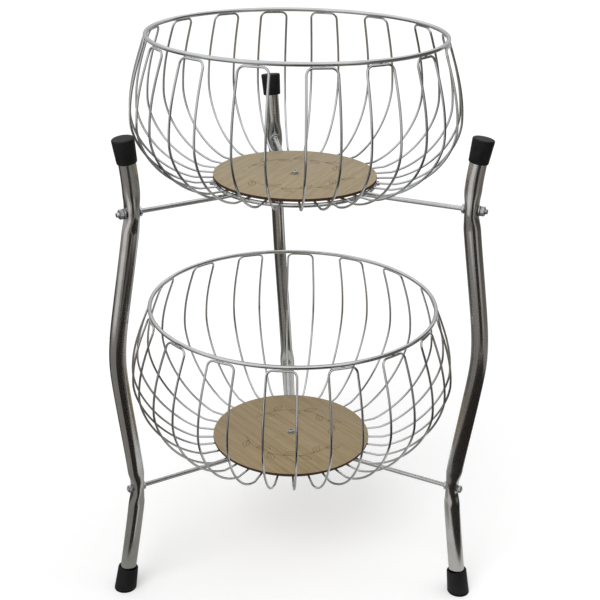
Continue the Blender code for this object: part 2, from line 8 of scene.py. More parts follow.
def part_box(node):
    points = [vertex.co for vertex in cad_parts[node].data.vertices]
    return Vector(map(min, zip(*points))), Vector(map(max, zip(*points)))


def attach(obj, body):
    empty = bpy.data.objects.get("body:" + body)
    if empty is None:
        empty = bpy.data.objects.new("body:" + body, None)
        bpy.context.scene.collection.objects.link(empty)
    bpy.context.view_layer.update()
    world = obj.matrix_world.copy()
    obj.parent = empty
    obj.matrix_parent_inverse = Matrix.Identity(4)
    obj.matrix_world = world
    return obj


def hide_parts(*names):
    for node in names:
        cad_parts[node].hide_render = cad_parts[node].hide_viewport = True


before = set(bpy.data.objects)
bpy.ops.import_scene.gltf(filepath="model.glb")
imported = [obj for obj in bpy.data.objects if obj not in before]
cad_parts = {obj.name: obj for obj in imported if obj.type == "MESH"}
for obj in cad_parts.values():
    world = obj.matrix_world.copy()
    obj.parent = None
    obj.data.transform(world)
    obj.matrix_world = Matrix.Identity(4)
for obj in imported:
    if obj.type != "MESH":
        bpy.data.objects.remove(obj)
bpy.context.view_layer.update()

sides = ("left", "right", "rear")
tiers = ("lower", "upper")
mm = 0.001
sharpAngle = math.radians(35)
mergeGap = 0.001 * mm
print("frame loaded,", len(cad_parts), "nodes")


# Colours and nodes

def srgb(hexColour):
    channels = [int(hexColour[i:i + 2], 16) / 255 for i in (1, 3, 5)]
    linear = [c / 12.92 if c <= 0.04045 else ((c + 0.055) / 1.055) ** 2.4 for c in channels]
    return (*linear, 1.0)


# Links other nodes' outputs to a node's sockets
def feed(tree, node, links):
    for name, source in links.items():
        tree.links.new(source, node.inputs[name])


# Adds one node: settings are its attributes or its sockets' values, links feed its sockets
def addNode(tree, kind, settings=None, links=None):
    node = tree.nodes.new(kind)
    for name, value in (settings or {}).items():
        if isinstance(name, str) and hasattr(node, name):
            setattr(node, name, value)
        else:
            node.inputs[name].default_value = value
    feed(tree, node, links or {})
    return node


# A material with its shader's plain values set on the shader's own sockets
def startMaterial(name, values):
    material = bpy.data.materials.new(name)
    material.use_nodes = True
    tree = material.node_tree
    shader = tree.nodes["Principled BSDF"]
    for socket, value in values.items():
        shader.inputs[socket].default_value = value
    return material, tree, shader


def setRamp(node, stops):
    ramp = node.color_ramp
    while len(ramp.elements) > 1:
        ramp.elements.remove(ramp.elements[-1])
    ramp.elements[0].position, ramp.elements[0].color = stops[0][0], srgb(stops[0][1])
    for position, colour in stops[1:]:
        ramp.elements.new(position).color = srgb(colour)


# Materials

chromeLook = {
    "cloud": 28 * mm, "lineGap": 0.8 * mm, "lineStretch": 0.03, "lineDepth": 0.05 * mm,
    "tube": {"light": "#CFCECC", "stained": "#BFBDBA", "polish": 0.13, "dull": 0.2, "drawnLines": 0.05},
    "wire": {"light": "#D4D6D8", "stained": "#C3C5C7", "polish": 0.15, "dull": 0.22, "drawnLines": 0.03},
}


# Chromium-plated steel over a drawn tube or wire: bright, a little clouded, with faint upright lines
def makeChrome(name, finish):
    material, tree, shader = startMaterial(name, {"Metallic": 1.0})
    place = addNode(tree, "ShaderNodeTexCoord").outputs["Object"]
    clouds = addNode(tree, "ShaderNodeTexNoise",
                     {"Scale": 1 / chromeLook["cloud"], "Detail": 4.0, "Roughness": 0.6}, {"Vector": place})
    tint = addNode(tree, "ShaderNodeValToRGB", links={"Fac": clouds.outputs["Fac"]})
    setRamp(tint, [(0.35, finish["light"]), (0.75, finish["stained"])])
    dull = addNode(tree, "ShaderNodeMapRange", {"From Min": 0.3, "From Max": 0.75,
                   "To Min": finish["polish"], "To Max": finish["dull"]}, {"Value": clouds.outputs["Fac"]})
    # drawing lines are a few hundredths of a millimetre apart, and drawn here at 0.8 mm so that they show
    stretched = addNode(tree, "ShaderNodeMapping", {"Scale": (1, 1, chromeLook["lineStretch"])},
                        {"Vector": place})
    lines = addNode(tree, "ShaderNodeTexNoise", {"Scale": 1 / chromeLook["lineGap"], "Detail": 2.0},
                    {"Vector": stretched.outputs["Vector"]})
    bump = addNode(tree, "ShaderNodeBump", {"Strength": finish["drawnLines"],
                   "Distance": chromeLook["lineDepth"]}, {"Height": lines.outputs["Fac"]})
    feed(tree, shader, {"Base Color": tint.outputs["Color"], "Roughness": dull.outputs["Result"],
                        "Normal": bump.outputs["Normal"]})
    return material


chromeTube = makeChrome("chromePlatedTube", chromeLook["tube"])
chromeWire = makeChrome("chromePlatedWire", chromeLook["wire"])


boardLook = {
    "bandGap": 4 * mm, "bandStretch": 0.04, "poreGap": 0.9 * mm, "poreStretch": 0.06, "patch": 60 * mm,
    "pore": "#6E5C3F", "warm": "#A08A70",
    "upper": {"grainTurn": 62, "pale": "#AC9B79", "mid": "#A39270", "deep": "#978563"},
    "lower": {"grainTurn": 127, "pale": "#A99671", "mid": "#9E8B66", "deep": "#917D58"},
}


# Fibreboard with a printed oak film: satin, straight grain with short dark pores
def makePrintedBoard(name, film, centre):
    material, tree, shader = startMaterial(name, {"IOR": 1.47})
    place = addNode(tree, "ShaderNodeTexCoord").outputs["Object"]
    turned = addNode(tree, "ShaderNodeMapping", {"vector_type": "TEXTURE", "Location": centre,
                     "Rotation": (0, 0, math.radians(film["grainTurn"]))}, {"Vector": place})
    # the grain's bands run along the turned X, 4 mm apart and about 100 mm long
    alongGrain = addNode(tree, "ShaderNodeMapping", {"Scale": (boardLook["bandStretch"], 1, 1)},
                         {"Vector": turned.outputs["Vector"]})
    bands = addNode(tree, "ShaderNodeTexNoise",
                    {"Scale": 1 / boardLook["bandGap"], "Detail": 4.0, "Distortion": 0.4},
                    {"Vector": alongGrain.outputs["Vector"]})
    tint = addNode(tree, "ShaderNodeValToRGB", links={"Fac": bands.outputs["Fac"]})
    setRamp(tint, [(0.3, film["deep"]), (0.5, film["mid"]), (0.72, film["pale"])])
    # the printed pores are 0.9 mm apart and about 15 mm long, coarser than oak's, so that they show
    alongPores = addNode(tree, "ShaderNodeMapping", {"Scale": (boardLook["poreStretch"], 1, 1)},
                         {"Vector": turned.outputs["Vector"]})
    pores = addNode(tree, "ShaderNodeTexNoise", {"Scale": 1 / boardLook["poreGap"], "Detail": 1.0},
                    {"Vector": alongPores.outputs["Vector"]})
    poreMask = addNode(tree, "ShaderNodeMapRange", {"From Min": 0.58, "From Max": 0.74, "To Max": 0.5},
                       {"Value": pores.outputs["Fac"]})
    # sockets 6 and 7 of a colour mix are its two colours, and output 2 its result
    inked = addNode(tree, "ShaderNodeMix", {"data_type": "RGBA", 7: srgb(boardLook["pore"])},
                    {"Factor": poreMask.outputs["Result"], 6: tint.outputs["Color"]})
    # the print fades to a warmer tone over 60 mm patches
    patches = addNode(tree, "ShaderNodeTexNoise", {"Scale": 1 / boardLook["patch"], "Detail": 2.0},
                      {"Vector": place})
    patchMask = addNode(tree, "ShaderNodeMapRange", {"From Min": 0.4, "From Max": 0.7, "To Max": 0.3},
                        {"Value": patches.outputs["Fac"]})
    warmed = addNode(tree, "ShaderNodeMix", {"data_type": "RGBA", 7: srgb(boardLook["warm"])},
                     {"Factor": patchMask.outputs["Result"], 6: inked.outputs[2]})
    gloss = addNode(tree, "ShaderNodeMapRange", {"To Min": 0.5, "To Max": 0.36},
                    {"Value": bands.outputs["Fac"]})
    bump = addNode(tree, "ShaderNodeBump", {"Strength": 0.12, "Distance": 0.1 * mm},
                   {"Height": pores.outputs["Fac"]})
    feed(tree, shader, {"Base Color": warmed.outputs[2], "Roughness": gloss.outputs["Result"],
                        "Normal": bump.outputs["Normal"]})
    return material


feltLook = {"shader": {"IOR": 1.47}, "detail": 5.0, "grit": 0.7, "bump": (0.3, 0.1 * mm)}
mottledLook = {
    # zinc-plated steel, tumbled in a barrel: greyer than chrome, and finely mottled
    "zincPlatedSteel": {"shader": {"Metallic": 1.0}, "spot": 1.6 * mm, "detail": 5.0, "grit": 0.5,
                        "tones": [(0.3, "#8F9092"), (0.65, "#BFC1C2")],
                        "dull": (0.2, 0.42), "bump": (0.15, 0.05 * mm)},
    # moulded black rubber: nearly matt, a little dusty, with its mould's fine grain drawn at 0.7 mm to show
    "mouldedBlackRubber": {"shader": {"IOR": 1.52, "Specular IOR Level": 0.3}, "spot": 9 * mm,
                           "detail": 6.0, "grit": 0.65, "tones": [(0.45, "#0D0D0E"), (0.8, "#1C1C1C")],
                           "dull": (0.42, 0.7), "grain": 0.7 * mm, "bump": (0.25, 0.1 * mm)},
    # fibreboard where a laser cut it: matt and scorched dark brown
    "laserScorchedEdge": {**feltLook, "spot": 0.8 * mm, "tones": [(0.35, "#24170C"), (0.68, "#4E3319")],
                          "dull": (0.67, 0.87)},
    # the board's bare back: matt and felted
    "bareFibreboard": {**feltLook, "spot": 1.2 * mm, "tones": [(0.35, "#7A6244"), (0.68, "#94795A")],
                       "dull": (0.72, 0.92)},
    # lines that a laser burnt lightly into the film: matt and a thin brown
    "laserScorchedLine": {**feltLook, "spot": 0.9 * mm, "tones": [(0.35, "#5B4A31"), (0.68, "#7C6A4B")],
                          "dull": (0.67, 0.87)},
}


# A surface in two tones, whose mottle dulls it too, and roughens it where it has no finer grain
def makeMottled(name):
    look = mottledLook[name]
    material, tree, shader = startMaterial(name, look["shader"])
    place = addNode(tree, "ShaderNodeTexCoord").outputs["Object"]
    mottle = addNode(tree, "ShaderNodeTexNoise", {"Scale": 1 / look["spot"], "Detail": look["detail"],
                     "Roughness": look["grit"]}, {"Vector": place})
    tint = addNode(tree, "ShaderNodeValToRGB", links={"Fac": mottle.outputs["Fac"]})
    setRamp(tint, look["tones"])
    dull = addNode(tree, "ShaderNodeMapRange", {"To Min": look["dull"][0], "To Max": look["dull"][1]},
                   {"Value": mottle.outputs["Fac"]})
    grain = mottle
    if "grain" in look:
        grain = addNode(tree, "ShaderNodeTexNoise", {"Scale": 1 / look["grain"], "Detail": 3.0},
                        {"Vector": place})
    bump = addNode(tree, "ShaderNodeBump", {"Strength": look["bump"][0], "Distance": look["bump"][1]},
                   {"Height": grain.outputs["Fac"]})
    feed(tree, shader, {"Base Color": tint.outputs["Color"], "Roughness": dull.outputs["Result"],
                        "Normal": bump.outputs["Normal"]})
    return material


zincSteel, blackRubber, scorchedEdge, bareBoard, scorchedLine = (makeMottled(name) for name in mottledLook)
print("materials ready")


# Shapes

def addObject(name, data):
    item = bpy.data.objects.new(name, data)
    bpy.context.scene.collection.objects.link(item)
    return item


def meshFrom(shape, name, materials=()):
    mesh = bpy.data.meshes.new(name)
    shape.to_mesh(mesh)
    shape.free()
    for material in materials:
        mesh.materials.append(material)
    return mesh


def keepPiece(shape, name, materials, nodes):
    mesh = meshFrom(shape, name, materials)
    mesh.shade_smooth()
    mesh.set_sharp_from_angle(angle=sharpAngle)
    piece = addObject(name, mesh)
    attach(piece, "root")
    if nodes:
        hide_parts(*nodes)
    return piece


def joinInto(shape, other):
    mesh = meshFrom(other, "joined")
    shape.from_mesh(mesh)
    bpy.data.meshes.remove(mesh)


# A place whose Z axis lies along the direction
def aimed(origin, direction):
    return Matrix.Translation(origin) @ direction.to_track_quat("Z", "Y").to_matrix().to_4x4()


def moveShape(shape, place):
    bmesh.ops.transform(shape, matrix=place, space=Matrix(), verts=shape.verts)


# Spins points and edges once round Z, closes the seam and the poles and turns the faces outwards
def spinRound(shape, geometry, steps):
    bmesh.ops.spin(shape, geom=geometry, cent=(0, 0, 0), axis=(0, 0, 1), dvec=(0, 0, 0), angle=math.tau,
                   space=Matrix(), steps=steps, use_merge=True, use_normal_flip=False, use_duplicate=False)
    bmesh.ops.remove_doubles(shape, verts=shape.verts, dist=mergeGap)
    bmesh.ops.recalc_face_normals(shape, faces=shape.faces)


# Turns a profile of (radius, height) points about Z and puts it in its place
def turnedShape(profile, place, steps, closed=False):
    shape = bmesh.new()
    verts = [shape.verts.new((radius, 0, height)) for radius, height in profile]
    pairs = list(zip(verts, verts[1:])) + ([(verts[-1], verts[0])] if closed else [])
    edges = [shape.edges.new(pair) for pair in pairs]
    spinRound(shape, verts + edges, steps)
    moveShape(shape, place)
    return shape


# Draws a circle along a path: each step is an extrusion that is turned and moved on
def sweptShape(path, radius, around, capEnds=True):
    steps = [b - a for a, b in zip(path, path[1:])]
    headings = [steps[0]] + [a.normalized() + b.normalized() for a, b in zip(steps, steps[1:])] + [steps[-1]]
    shape = bmesh.new()
    start = bmesh.ops.create_circle(shape, cap_ends=capEnds, segments=around, radius=radius,
                                    matrix=aimed(path[0], headings[0]))
    rim = list({edge for vert in start["verts"] for edge in vert.link_edges})
    for i, step in enumerate(steps):
        grown = bmesh.ops.extrude_edge_only(shape, edges=rim)["geom"]
        verts = [item for item in grown if isinstance(item, bmesh.types.BMVert)]
        rim = [item for item in grown if isinstance(item, bmesh.types.BMEdge)]
        turn = headings[i].rotation_difference(headings[i + 1]).to_matrix()
        bmesh.ops.rotate(shape, cent=path[i], matrix=turn, verts=verts, space=Matrix())
        bmesh.ops.translate(shape, vec=step, verts=verts, space=Matrix())
        rim = [edge for edge in rim if edge.verts[0] in verts and edge.verts[1] in verts]
    if capEnds:
        bmesh.ops.edgenet_fill(shape, edges=rim)
    bmesh.ops.recalc_face_normals(shape, faces=shape.faces)
    return shape


# Cuts the shape at a plane and closes the cut, and returns the edges round it
def cutOff(shape, point, direction):
    geometry = list(shape.verts) + list(shape.edges) + list(shape.faces)
    cut = bmesh.ops.bisect_plane(shape, geom=geometry, dist=0.0005 * mm, plane_co=point,
                                 plane_no=direction, clear_outer=True)
    edges = [item for item in cut["geom_cut"] if isinstance(item, bmesh.types.BMEdge)]
    bmesh.ops.edgenet_fill(shape, edges=edges)
    return edges


def roundEdges(shape, edges, width, segments):
    bmesh.ops.bevel(shape, geom=edges, offset=width, offset_type="OFFSET", affect="EDGES",
                    segments=segments, profile=0.5, material=-1, clamp_overlap=True)


# Edges that lie level
def levelEdges(shape):
    return [edge for edge in shape.edges if abs(edge.verts[0].co.z - edge.verts[1].co.z) < 0.01 * mm]


def polar(radius, turn, height=0.0):
    return Vector((radius * math.cos(turn), radius * math.sin(turn), height))


# The stand's levels, from the same sizes as the solids

wire = {"rim": 5.0 * mm, "hoop": 2.8 * mm, "ring": 5.0 * mm, "weldSink": 0.7 * mm, "gap": 0.3 * mm,
        "hoops": 16, "span": math.radians(10.8), "corner": 7 * mm, "weldAngle": math.radians(65),
        "overhang": 8 * mm, "dip": 1.2 * mm}
bowlSizes = {
    "upper": {"rimHeight": 682.5 * mm, "rimRadius": 172.5 * mm, "bulge": 21.5 * mm, "bulgeDepth": 92 * mm,
              "discDepth": 166 * mm, "discRadius": 98.5 * mm, "floorMargin": 8.5 * mm, "curve": 1.11,
              "ringInset": 2 * mm, "hoopTurn": 6.2, "legGap": 9.4 * mm, "legShift": (3 * mm, 2.5 * mm),
              "press": 2.2 * mm, "thread": 6 * mm, "stub": 3 * mm, "washerWidth": 2.7 * mm,
              "washer": 2 * mm, "nutWall": 1.7 * mm, "nut": 5 * mm,
              "drifts": (-1.5, -1.8, 1.9, 2.7, 1.4, -0.3, 0.3, -0.2, -0.5, -1.0, -1.9, -0.5, 0, -1.7, -2.1,
                         -2.1)},
    "lower": {"rimHeight": 346 * mm, "rimRadius": 180 * mm, "bulge": 25 * mm, "bulgeDepth": 94 * mm,
              "discDepth": 188 * mm, "discRadius": 103 * mm, "floorMargin": 6 * mm, "curve": 1.18,
              "ringInset": 11.5 * mm, "hoopTurn": 16.7, "legGap": 8.4 * mm, "legShift": (4 * mm, 6 * mm),
              "press": 3.5 * mm, "thread": 5 * mm, "stub": 1 * mm, "washerWidth": 1.6 * mm,
              "washer": 1 * mm, "nutWall": 1.2 * mm, "nut": 4 * mm,
              "drifts": (-2.2, 0.4, -0.1, 0.4, 0.2, 1.0, 2.5, 2.0, -0.3, 0.4, -0.2, -0.1, -0.7, -1.7, -2.5,
                         -2.5)},
}
# each lean is a run's way out or in for its height, between corners at the bolts, knees and top
tube = {"depth": 20.2 * mm, "width": 17.4 * mm, "wall": 1.2 * mm, "around": 40, "sole": 5 * mm,
        "splay": 0.183, "rise": 0.123, "return": 0.19, "top": 0.01, "tip": 0.15, "kneeRise": 192 * mm,
        "kneeLength": 32 * mm, "tipRise": 31 * mm, "bend": 22 * mm,
        "aboveBolt": {"left": 82 * mm, "right": 79 * mm, "rear": 82 * mm},
        "spread": 1.8 * mm,
        "turns": {"left": (209.7, 209.9), "right": (328.3, 333.9), "rear": (90.4, 96.1)}}
board = {"thickness": 3.5 * mm}
arm = {"rod": 5.5 * mm, "innerEnd": 12 * mm, "collarLip": 2.8 * mm, "collar": 3 * mm, "slack": 0.3 * mm}

rimLow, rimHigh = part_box("upper_rim")
axis = Vector(((rimLow.x + rimHigh.x) / 2, (rimLow.y + rimHigh.y) / 2, 0))
ontoAxis = Matrix.Translation(axis)


def bowlLevels(sizes):
    level = dict(sizes)
    level["bulgeRadius"] = sizes["rimRadius"] + sizes["bulge"]
    level["bulgeHeight"] = sizes["rimHeight"] - sizes["bulgeDepth"]
    level["discTop"] = sizes["rimHeight"] - sizes["discDepth"]
    level["floorRadius"] = sizes["discRadius"] + sizes["floorMargin"]
    level["ringRadius"] = sizes["discRadius"] - sizes["ringInset"]
    level["wireHeight"] = level["discTop"] - board["thickness"] - wire["gap"] - wire["hoop"] / 2
    level["ringHeight"] = level["wireHeight"] - (wire["hoop"] + wire["ring"]) / 2 + wire["weldSink"]
    level["ringBottom"] = level["ringHeight"] - wire["ring"] / 2
    level["armHeight"] = level["ringBottom"] - wire["gap"] - arm["rod"] / 2
    level["legRadius"] = (level["bulgeRadius"] + wire["hoop"] / 2 + sizes["legGap"]
                          + tube["depth"] / 2)
    return level


bowls = {tier: bowlLevels(bowlSizes[tier]) for tier in tiers}


# The (radius, height) corners of a leg's centre line, from its foot to its top end
def legCorners():
    lower, upper = bowls["lower"], bowls["upper"]
    lowBolt, highBolt = lower["armHeight"], upper["armHeight"]
    lowKnee = lowBolt + tube["kneeRise"] - tube["kneeLength"] / 2
    highKnee = lowKnee + tube["kneeLength"]
    tipRadius = upper["legRadius"] + tube["top"] * tube["tipRise"]
    return [(lower["legRadius"] + tube["splay"] * (lowBolt - tube["sole"]), tube["sole"]),
            (lower["legRadius"], lowBolt),
            (lower["legRadius"] + tube["rise"] * (lowKnee - lowBolt), lowKnee),
            (upper["legRadius"] + tube["return"] * (highBolt - highKnee), highKnee),
            (upper["legRadius"], highBolt),
            (tipRadius, highBolt + tube["tipRise"]),
            (tipRadius + tube["tip"] * tube["tipRise"], highBolt + 2 * tube["tipRise"])]


# A point of a leg's centre line, and the level way across the leg there: runs with eased corners
def legPlace(side, height):
    lower, upper, corners = bowls["lower"], bowls["upper"], legCorners()
    leans = [(above[0] - below[0]) / (above[1] - below[1]) for below, above in zip(corners, corners[1:])]
    radius = corners[0][0] + leans[0] * (height - corners[0][1])
    for corner, before, after in zip(corners[1:-1], leans, leans[1:]):
        past = height - corner[1]
        radius += (after - before) * (past + math.hypot(past, tube["bend"])) / 2
    share = (height - lower["armHeight"]) / (upper["armHeight"] - lower["armHeight"])
    first, last = (math.radians(turn) for turn in tube["turns"][side])
    shift = Vector((*lower["legShift"], 0)).lerp(Vector((*upper["legShift"], 0)), share)
    turn = first + (last - first) * share
    return polar(radius, turn, height) + shift, polar(1, turn + math.radians(90))


# Where a leg's centre line meets a bowl's arm, seen from the bowl's axis, and the way out
def boltPlace(tier, side):
    place = legPlace(side, bowls[tier]["armHeight"])[0]
    return place, Vector((place.x, place.y, 0)).normalized()


# Legs

legLook = {"ringStep": 7 * mm, "pressStep": 1.4 * mm, "pressFlat": 2 * mm, "pressEnd": 24 * mm,
           "fineMargin": 10 * mm}


# The round tube came out of its bending tools narrower across than it is deep
def squeezeTube(shape, side):
    for vert in shape.verts:
        centre, across = legPlace(side, vert.co.z)
        vert.co += across * (vert.co - centre).dot(across) * (tube["width"] / tube["depth"] - 1)


# The tube is pressed in on both sides of a bolt and grows wider there. The cube of the depth makes the
# pressing almost flat, and near the bolt the leaning tube is set upright, so that the washer lies on it.
def pressTube(shape, side, tier):
    bolt, outward = boltPlace(tier, side)
    sideways = Vector((-outward.y, outward.x, 0))
    for vert in shape.verts:
        away = abs(vert.co.z - bolt.z)
        if away >= legLook["pressEnd"]:
            continue
        past = max(0.0, away - legLook["pressFlat"]) / (legLook["pressEnd"] - legLook["pressFlat"])
        share = (1 + math.cos(math.pi * past)) / 2
        centre = legPlace(side, vert.co.z)[0]
        depth = (vert.co - centre).dot(outward) / (tube["depth"] / 2)
        wider = (vert.co - centre).dot(sideways) / (tube["width"] / 2)
        upright = (bolt - centre).dot(outward) * share ** 4
        vert.co += outward * (upright - share * bowls[tier]["press"] * depth ** 3)
        vert.co += sideways * share * tube["spread"] * wider


def legHeights(side):
    heights = []
    height, top = tube["sole"], bowls["upper"]["armHeight"] + tube["aboveBolt"][side]
    fine = legLook["pressEnd"] + legLook["fineMargin"]
    while height < top:
        heights.append(height)
        nearBolt = any(abs(height - bowls[tier]["armHeight"]) < fine for tier in tiers)
        height += legLook["pressStep"] if nearBolt else legLook["ringStep"]
    return heights + [top]


for side in sides:
    path = [legPlace(side, height)[0] for height in legHeights(side)]
    shape = sweptShape(path, tube["depth"] / 2, tube["around"], capEnds=False)
    squeezeTube(shape, side)
    for tier in tiers:
        pressTube(shape, side, tier)
    moveShape(shape, ontoAxis)
    leg = keepPiece(shape, "leg" + side.capitalize(), [chromeTube], ["leg_" + side])
    wallModifier = leg.modifiers.new("wall", "SOLIDIFY")
    wallModifier.thickness, wallModifier.offset = tube["wall"], -1
print("legs made")


# Rubber caps and feet

# a mouth's points are how far each lies in from the outer wall, and how far from the mouth
capLook = {"length": 28 * mm, "end": 4 * mm, "endWall": 2.4 * mm, "mouthWall": 0.9 * mm, "round": 1.6 * mm,
           "roundSteps": 5, "dome": ((0, 0.15 * mm), (0.6, 0.1 * mm)),
           "mouth": ((-0.25 * mm, 1.2 * mm), (0, 0.4 * mm), (0.5 * mm, 0))}
footLook = {"height": 30 * mm, "mouthWall": 2.2 * mm, "soleWall": 3.4 * mm, "round": 1.8 * mm,
            "roundSteps": 4, "lead": (0.4 * mm, 0.6 * mm),
            "mouth": ((0.8 * mm, 0), (0.2 * mm, 0.3 * mm), (0, 0.9 * mm))}
rubberFit = {"gap": 0.3 * mm, "steps": 48, "capAim": 16 * mm, "footAim": 70 * mm}

for side in sides:
    bore = tube["depth"] / 2 + rubberFit["gap"]
    top = bowls["upper"]["armHeight"] + tube["aboveBolt"][side]
    end, below = legPlace(side, top)[0], legPlace(side, top - rubberFit["capAim"])[0]
    wide, mouth = bore + capLook["endWall"], capLook["end"] - capLook["length"]
    wall, radius = bore + capLook["mouthWall"], capLook["round"]
    profile = [(wide * share, capLook["end"] + rise) for share, rise in capLook["dome"]]
    for step in range(capLook["roundSteps"] + 1):
        bend = math.radians(90 - 90 * step / capLook["roundSteps"])
        profile.append((wide - radius + radius * math.cos(bend),
                        capLook["end"] - radius + radius * math.sin(bend)))
    profile += [(wall - inset, mouth + rise) for inset, rise in capLook["mouth"]]
    profile += [(bore, mouth), (bore, 0), (0, 0)]
    place = ontoAxis @ aimed(end, (end - below).normalized())
    shape = turnedShape(profile, place, rubberFit["steps"])
    keepPiece(shape, "cap" + side.capitalize(), [blackRubber], ["cap_" + side])

    # the foot is turned longer than it is and cut level at the floor
    sole, above = legPlace(side, tube["sole"])[0], legPlace(side, rubberFit["footAim"])[0]
    wide, mouth = bore + footLook["soleWall"], footLook["height"] - tube["sole"]
    wall, (leadWide, leadDeep) = bore + footLook["mouthWall"], footLook["lead"]
    profile = [(0, -rubberFit["gap"]), (bore, -rubberFit["gap"]), (bore, mouth - leadDeep),
               (bore + leadWide, mouth)]
    profile += [(wall - inset, mouth - drop) for inset, drop in footLook["mouth"]]
    profile += [(wide, -tube["sole"]), (wide, -tube["sole"] - wide), (0, -tube["sole"] - wide)]
    place = ontoAxis @ aimed(sole, (above - sole).normalized())
    shape = turnedShape(profile, place, rubberFit["steps"])
    cut = cutOff(shape, Vector((0, 0, 0)), Vector((0, 0, -1)))
    roundEdges(shape, cut, footLook["round"], footLook["roundSteps"])
    keepPiece(shape, "foot" + side.capitalize(), [blackRubber], ["foot_" + side])
print("rubber made")


# Bowls of welded wire

cageLook = {"flankStart": 0.12, "flankSteps": 22, "neckSteps": 12, "cornerSteps": 6, "around": 10,
            "rimSteps": 128, "rimAround": 14, "baseSteps": 96, "baseAround": 12}
# the length, width and height of the weld drops. The one at a hoop's top sits a little in and up from it.
beadLook = {"top": (5.12 * mm, 1.44 * mm, 0.9 * mm), "base": (3.2 * mm, 3.5 * mm, 1.35 * mm),
            "inset": 0.5 * mm, "lift": 0.2 * mm}


# A hoop's top hangs on the outer side of the rim
def hoopTop(level):
    reach = (wire["rim"] + wire["hoop"]) / 2 + wire["gap"]
    return (level["rimRadius"] + reach * math.cos(wire["weldAngle"]),
            level["rimHeight"] - reach * math.sin(wire["weldAngle"]))


# One leg of a hoop as (radius, turn, height), from its end under the disc to the middle of its top
def hoopHalf(level):
    floorHeight = level["wireHeight"] - wire["dip"]
    topRadius, topHeight = hoopTop(level)
    points = [(level["ringRadius"] - wire["overhang"], level["wireHeight"])]
    for step in range(1, cageLook["flankSteps"] + 1):
        share = (step - 1) / (cageLook["flankSteps"] - 1)
        angle = math.radians(90) * (cageLook["flankStart"] + (1 - cageLook["flankStart"]) * share)
        reach, drop = math.sin(angle) ** level["curve"], max(0.0, math.cos(angle)) ** level["curve"]
        points.append((level["floorRadius"] + (level["bulgeRadius"] - level["floorRadius"]) * reach,
                       level["bulgeHeight"] - (level["bulgeHeight"] - floorHeight) * drop))
    cornerHeight = topHeight - wire["corner"]
    for step in range(1, cageLook["neckSteps"] + 1):
        height = level["bulgeHeight"] + (cornerHeight - level["bulgeHeight"]) * step / cageLook["neckSteps"]
        left = (topHeight - height) / (topHeight - level["bulgeHeight"])
        points.append((topRadius + (level["bulgeRadius"] - topRadius) * math.sin(math.radians(90) * left),
                       height))
    halfTurn, cornerTurn = wire["span"] / 2, wire["corner"] / topRadius
    half = [(radius, -halfTurn, height) for radius, height in points]
    for step in range(1, cageLook["cornerSteps"] + 1):
        bend = math.radians(90) * step / cageLook["cornerSteps"]
        lift = math.sin(bend)
        half.append((points[-1][0] + (topRadius - points[-1][0]) * lift,
                     -halfTurn + cornerTurn * (1 - math.cos(bend)), topHeight - wire["corner"] * (1 - lift)))
    straight = halfTurn - cornerTurn
    half += [(topRadius, -straight * (1 - share), topHeight) for share in (0.33, 0.66)]
    return half, (topRadius, 0.0, topHeight)


# A ring of wire, whose circle is spun about the bowl's axis
def ringShape(radius, diameter, height, steps, around):
    shape = bmesh.new()
    stand = Matrix.Translation((radius, 0, height)) @ Matrix.Rotation(math.radians(90), 4, "X")
    bmesh.ops.create_circle(shape, cap_ends=False, segments=around, radius=diameter / 2, matrix=stand)
    spinRound(shape, list(shape.verts) + list(shape.edges), steps)
    return shape


# A flat drop of weld metal whose length lies along the direction
def addBead(shape, place, along, size):
    turn = along.to_track_quat("X", "Z").to_matrix().to_4x4()
    scale = Matrix.Diagonal((size[0], size[1], size[2], 1))
    bmesh.ops.create_icosphere(shape, subdivisions=2, radius=0.5,
                               matrix=Matrix.Translation(place) @ turn @ scale)


for tier in tiers:
    level = bowls[tier]
    shape = ringShape(level["rimRadius"], wire["rim"], level["rimHeight"], cageLook["rimSteps"],
                      cageLook["rimAround"])
    moveShape(shape, ontoAxis)
    keepPiece(shape, tier + "Rim", [chromeWire], [tier + "_rim"])

    shape = ringShape(level["ringRadius"], wire["ring"], level["ringHeight"], cageLook["baseSteps"],
                      cageLook["baseAround"])
    half, top = hoopHalf(level)
    pitch = math.tau / wire["hoops"]
    for count, drift in enumerate(level["drifts"]):
        middle = math.radians(level["hoopTurn"] + drift) + pitch * count
        other = [(radius, -turn, height) for radius, turn, height in reversed(half)]
        path = [polar(radius, middle + turn, height) for radius, turn, height in half + [top] + other]
        joinInto(shape, sweptShape(path, wire["hoop"] / 2, cageLook["around"]))
        seat = polar(top[0] - beadLook["inset"], middle, top[2] + wire["hoop"] / 2 + beadLook["lift"])
        addBead(shape, seat, polar(1, middle + math.radians(90)), beadLook["top"])
        for turn in (-wire["span"] / 2, wire["span"] / 2):
            seat = polar(level["ringRadius"], middle + turn, level["ringHeight"] + wire["ring"] / 2)
            addBead(shape, seat, polar(1, middle + turn), beadLook["base"])
    moveShape(shape, ontoAxis)
    keepPiece(shape, tier + "Cage", [chromeWire], [tier + "_cage"])
print("bowls made")


# Arms and their fasteners

armLook = {"pitch": 1.0 * mm, "threadDepth": 0.45 * mm, "chamfer": 0.5 * mm, "steps": 32,
           "threadOverlap": 0.4 * mm, "collarEdge": 0.5 * mm, "innerEdge": 0.4 * mm,
           "fillet": ((0.7 * mm, 0), (0.2 * mm, 0.2 * mm), (0, 0.7 * mm))}
washerLook = {"edge": 0.25 * mm, "steps": 48}
nutLook = {"boreEdge": 0.3 * mm, "chamfer": 0.4 * mm, "cornerShare": 0.35, "chamferWidth": 1.7, "steps": 72}


# A threaded length as a profile: ridges one pitch apart between two heights
def threadProfile(low, high, radius):
    profile, height = [], high - armLook["chamfer"]
    while height - armLook["pitch"] > low:
        profile += [(radius, height), (radius - armLook["threadDepth"], height - armLook["pitch"] / 2)]
        height -= armLook["pitch"]
    return profile + [(radius, height), (radius, low)]


